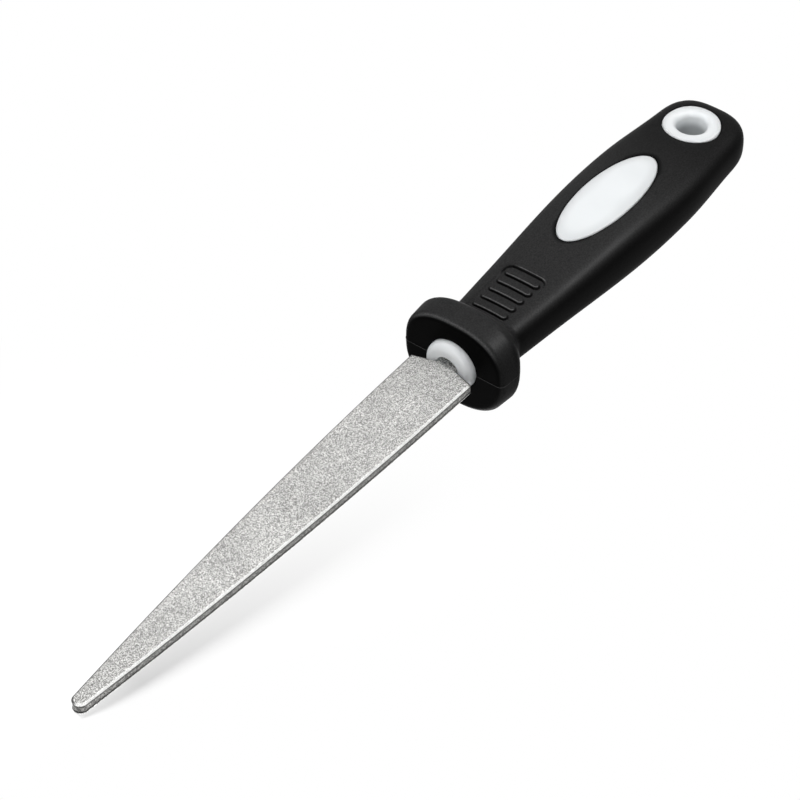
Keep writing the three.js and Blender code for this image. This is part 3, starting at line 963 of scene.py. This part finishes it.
floor = {
    "size": 1600.0,
    "gap": 0.02,  # between the tool and the floor
    "white": 0.9,
    "bounce": 0.06,  # what the floor throws back at the tool
    "shadowFrom": (-0.1265, 0.0, 0.0),  # place in metres below the tip, where the shadow is deepest
    "shadow": 0.55,  # share of lamp light there, where the rest is the floor's own light
    "shadowReach": 0.13,  # distance in metres from there at which only own light is left
    "contact": (-0.003, 0.02),  # distances in metres over which the shadow comes in
    "bladeEdge": (0.075, 0.002),  # half width of the blade: growth along it, and metres at the tip
    "shadowWidth": (0.2, 0.0002),  # width of the shadow beside it: growth along it, and metres at the tip
    "shadowSide": (-2.4, -0.5),  # shares of that width over which its outer side comes in
}


def mixShaders(tree, share, first, second):
    mix = addNode(tree, "ShaderNodeMixShader")
    for value, socket in zip((share, first.outputs[0], second.outputs[0]), mix.inputs):
        tree.links.new(value, socket)
    return mix


def seenRays(tree):
    # 1 for rays from the camera and for those that mirror or pass through, 0 for light that scatters
    path = addNode(tree, "ShaderNodeLightPath").outputs
    direct = addMath(tree, "MAXIMUM", path["Is Camera Ray"], path["Is Glossy Ray"])
    return addMath(tree, "MAXIMUM", direct, path["Is Transmission Ray"])


def shadowShare(tree):
    # Share of lamp light on the floor, which lets its shadow show: the square of a line that falls from
    # the tip out, so that the shadow thins softly, times a short rise at the tip, times a smooth side
    # that keeps the shadow narrow beside the blade
    far = addNode(tree, "ShaderNodeVectorMath", operation="DISTANCE")
    tree.links.new(objectPlace(tree), far.inputs[0])
    far.inputs[1].default_value = floor["shadowFrom"]
    distance = far.outputs["Value"]
    left = addRange(tree, distance, (0, floor["shadowReach"]), To_Min=math.sqrt(floor["shadow"]), To_Max=0)
    comesIn = addRange(tree, distance, floor["contact"])
    fromTip = addMath(tree, "MULTIPLY", addMath(tree, "MULTIPLY", left, left), comesIn)
    axes = placeAxes(tree)
    along = addMath(tree, "MAXIMUM", addMath(tree, "SUBTRACT", axes["X"], floor["shadowFrom"][0]), 0)
    edge = addMath(tree, "MULTIPLY_ADD", along, *floor["bladeEdge"])
    width = addMath(tree, "MULTIPLY_ADD", along, *floor["shadowWidth"])
    beside = addMath(tree, "DIVIDE", addMath(tree, "ADD", axes["Y"], edge), width)
    inside = addRange(tree, beside, floor["shadowSide"], interpolation_type="SMOOTHSTEP")
    return addMath(tree, "MULTIPLY", fromTip, inside)


def floorMaterial():
    # White of its own with the lamp's shadow let in, dim for scattered light, and clear from below
    material, tree, shader = newMaterial("floorWhite")
    tree.nodes.remove(shader)
    lit, grey = (addNode(tree, "ShaderNodeBsdfDiffuse", Color=(level, level, level, 1))
                 for level in (floor["white"], floor["bounce"]))
    glow = addNode(tree, "ShaderNodeEmission", Strength=1.0)
    clear = addNode(tree, "ShaderNodeBsdfTransparent")
    fromBelow = addNode(tree, "ShaderNodeNewGeometry").outputs["Backfacing"]
    white = mixShaders(tree, shadowShare(tree), glow, lit)
    seen = mixShaders(tree, seenRays(tree), grey, white)
    oneSided = mixShaders(tree, fromBelow, seen, clear)
    tree.links.new(oneSided.outputs[0], tree.nodes["Material Output"].inputs["Surface"])
    return material


def makeFloor():
    # Formula: a plane through the tip's lowest point and the guard's lowest line, on which the tool rests
    tipX, tipZ = -blade["length"], -blade["seat"] - blade["layer"]
    guardX, guardZ = rimEnd, -grip["guardHeight"] / 2
    slope = (guardZ - tipZ) / (guardX - tipX)
    reach = floor["size"] / 2
    x, y = np.meshgrid([-reach, reach], [-reach, reach])
    z = tipZ + slope * (x - tipX) - floor["gap"]
    points = (np.stack([x, y, z], -1).reshape(-1, 3) + toolZero) / perMetre
    mesh = bpy.data.meshes.new("floor")
    mesh.from_pydata(points.tolist(), [], [[0, 1, 3, 2]])
    mesh.materials.append(floorMaterial())
    plane = bpy.data.objects.new("floor", mesh)
    bpy.context.collection.objects.link(plane)
    return plane


studio = {
    "world": 0.03,
    "lamps": {  # place and aim in metres, size in metres, watts, and what each one lights
        "key": ((-0.15, 0.55, 0.68), (-0.03, 0, 0), 0.3, 2.4, "tool"),
        "top": ((0.02, -0.02, 0.62), (0, 0, 0), 0.5, 2.0, "tool"),
        "front": ((-0.7, -0.32, 0.42), (0, 0, 0), 0.6, 3.4, "tool"),
        "rim": ((0.5, -0.3, 0.95), (0.05, 0, 0), 0.4, 4.5, "tool"),
        "gloss": ((0.42, -0.54, 0.61), (0.04, 0, 0), 0.2, 43.0, "grip"),
        "under": ((0, 0, -0.5), (0, 0, 0), 0.5, 3.0, "tool"),
        "floor": ((-0.06, 1.25, 1.2), (-0.06, 0, 0), 1.4, 70.0, "floor"),
    },
}


def makeWorld():
    # White where it is seen, and dim as a light
    world = bpy.data.worlds.new("studio")
    world.use_nodes = True
    tree = world.node_tree
    tree.nodes.clear()
    soft = addNode(tree, "ShaderNodeBackground", Color=(1, 1, 1, 1), Strength=studio["world"])
    white = addNode(tree, "ShaderNodeBackground", Color=(1, 1, 1, 1), Strength=1.0)
    mix = mixShaders(tree, seenRays(tree), soft, white)
    tree.links.new(mix.outputs[0], addNode(tree, "ShaderNodeOutputWorld").inputs[0])
    bpy.context.scene.world = world


def makeLamps(plane):
    # The tool's lamps pass the floor by, also the one below it; the floor has a lamp of its own for its
    # one soft shadow, and the grip one that only its gloss shows
    for name, (place, aim, size, watts, lights) in studio["lamps"].items():
        lamp = bpy.data.lights.new(name, "AREA")
        lamp.shape = "DISK"
        lamp.size = size
        lamp.energy = watts
        holder = bpy.data.objects.new(name, lamp)
        holder.location = place
        holder.rotation_euler = (Vector(aim) - Vector(place)).to_track_quat("-Z", "Y").to_euler()
        holder.visible_diffuse = lights != "grip"
        bpy.context.collection.objects.link(holder)
        reach = bpy.data.collections.new(name + "Reach")
        reach.objects.link(gripSkin if lights == "grip" else plane)
        reach.collection_objects[0].light_linking.link_state = "EXCLUDE" if lights == "tool" else "INCLUDE"
        holder.light_linking.receiver_collection = reach
        if lights == "tool":
            holder.light_linking.blocker_collection = reach


camera = {
    "azimuth": -52.875,
    "elevation": 43.809,
    "distance": 771.956,  # from the tool's zero
    "picture": 800,  # pixels on a side
    "zeroAt": (441.19, 373.72),  # pixel of the tool's zero in it
    "lens": 144.0,
    "sensor": 36.0,
    "clipEnd": 20.0,  # metres
}


def makeCamera():
    # Stands where the photograph was taken from, and looks along the ray of the picture's middle
    azimuth, elevation = math.radians(camera["azimuth"]), math.radians(camera["elevation"])
    level = math.cos(elevation)
    back = Vector((math.sin(azimuth) * level, -math.cos(azimuth) * level, math.sin(elevation)))
    right = Vector((math.cos(azimuth), math.sin(azimuth), 0))
    up = back.cross(right)
    (zeroX, zeroY), middle = camera["zeroAt"], camera["picture"] / 2
    pixels = camera["picture"] * camera["lens"] / camera["sensor"]  # to one unit of distance
    ray = -back + right * (middle - zeroX) / pixels + up * (zeroY - middle) / pixels
    across = ray.cross(up).normalized()
    turn = Matrix((across, across.cross(ray).normalized(), -ray.normalized())).transposed()
    data = bpy.data.cameras.new("camera")
    data.lens = camera["lens"]
    data.sensor_width = camera["sensor"]
    data.clip_end = camera["clipEnd"]
    holder = bpy.data.objects.new("camera", data)
    place = (Vector(toolZero) + back * camera["distance"]) / perMetre
    holder.matrix_world = Matrix.Translation(place) @ turn.to_4x4()
    bpy.context.collection.objects.link(holder)
    bpy.context.scene.camera = holder


floorPlane = makeFloor()
makeWorld()
makeLamps(floorPlane)
makeCamera()
bpy.context.scene.view_settings.view_transform = "Standard"
print("studio ready")
